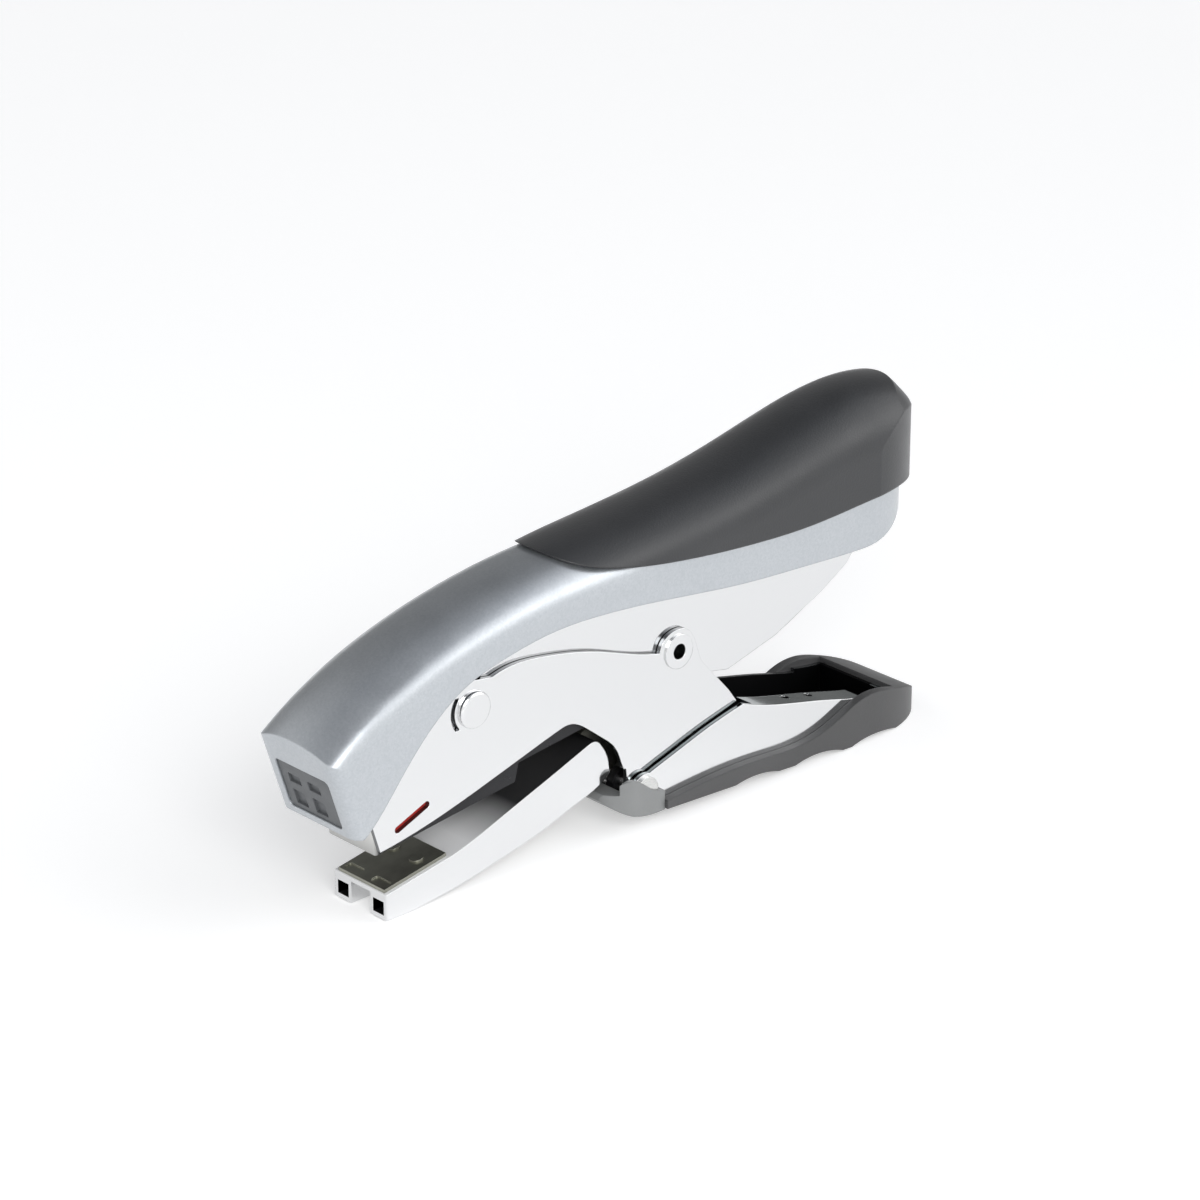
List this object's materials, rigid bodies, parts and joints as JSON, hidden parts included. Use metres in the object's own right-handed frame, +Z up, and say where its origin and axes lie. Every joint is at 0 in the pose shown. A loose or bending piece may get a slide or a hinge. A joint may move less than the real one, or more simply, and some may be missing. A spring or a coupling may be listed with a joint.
{
  "type": "plier stapler",
  "caption": "Hand-held plier stapler with a silver cover, rubber grips, chromed side plates, a folded anvil jaw and a spring-opened lower handle.",
  "frame": {"origin": "middle of the bounding box in plan, on the table plane the open stapler stands on", "axes": "+X from the nose to the tail of the handles, +Y across the stapler, +Z up from the table"},
  "size_m": [0.1708, 0.0264, 0.0791],
  "materials": {
    "silver_paint": "satin metallic",
    "grip_rubber": "soft matt",
    "lower_rubber": "soft matt",
    "chrome_plate": "bright plated",
    "black_steel": "black oxide",
    "bright_steel": "zinc plated",
    "tool_steel": "hardened, dull",
    "spring_steel": "drawn",
    "nose_plastic": "textured",
    "grey_plastic": "satin",
    "red_plastic": "moulded"
  },
  "bodies": {
    "frame": {"cheek_near": "chrome_plate", "cheek_far": "chrome_plate", "level_flag": "red_plastic", "magazine": "black_steel", "magazine_studs": "bright_steel", "staple_rail": "bright_steel", "staple_strip": "bright_steel", "guide_rod": "bright_steel", "pusher_spring": "spring_steel", "spring_seat": "black_steel", "drive_spring": "spring_steel", "front_rivet": "chrome_plate", "rear_rivet": "chrome_plate", "jaw_pin": "bright_steel", "spring_pin": "bright_steel"},
    "upper_handle": {"top_cover": "silver_paint", "top_grip": "grip_rubber", "handle_channel": "chrome_plate", "cover_pins": "bright_steel", "nose_plate": "nose_plastic", "driver_tongue": "tool_steel"},
    "driver": {"driver_blade": "tool_steel"},
    "pusher": {"pusher": "red_plastic"},
    "jaw": {"lower_jaw": "chrome_plate", "anvil_plate": "tool_steel", "anvil_rivets": "bright_steel", "jaw_arm": "tool_steel", "arm_rivets": "bright_steel"},
    "lower_handle": {"lower_channel": "chrome_plate", "lower_grip": "lower_rubber", "hinge_knuckle": "grey_plastic", "lever_bracket": "tool_steel", "cam_roller": "bright_steel", "roller_pin": "bright_steel", "handle_pin": "bright_steel", "handle_spring": "spring_steel", "spring_rivets": "bright_steel"}
  },
  "joints": [
    {"name": "upper_drive", "type": "hinge", "parent": "frame", "child": "upper_handle", "pos_m": [0.00915, 0, 0.036], "axis": [0, -1, 0], "range_deg": [0, 5.2], "stiffness_Nm_per_rad": 1.5, "springref_deg": -20.05, "deforming": ["drive_spring"]},
    {"name": "blade_slide", "type": "slide", "parent": "frame", "child": "driver", "axis": [0.1219, 0, -0.9925], "range_m": [0, 0.0075]},
    {"name": "lower_squeeze", "type": "hinge", "parent": "frame", "child": "lower_handle", "pos_m": [-0.00135, 0, 0.008], "axis": [0, -1, 0], "range_deg": [0, 15], "stiffness_Nm_per_rad": 0.9, "springref_deg": -40.11, "deforming": ["handle_spring"]},
    {"name": "jaw_close", "type": "hinge", "parent": "frame", "child": "jaw", "pos_m": [0.00365, 0, 0.026], "axis": [0, 1, 0], "range_deg": [0, 6.05]},
    {"name": "pusher_pull", "type": "slide", "parent": "frame", "child": "pusher", "axis": [0.9925, 0, 0.1219], "range_m": [0, 0.01], "stiffness_N_per_m": 60, "springref_m": -0.02, "deforming": ["pusher_spring"]}
  ],
  "couplings": [
    {"joint": "jaw_close", "follows": "lower_squeeze", "ratio": 0.4},
    {"joint": "blade_slide", "follows": "upper_drive", "m_per_rad": 0.0815}
  ]
}
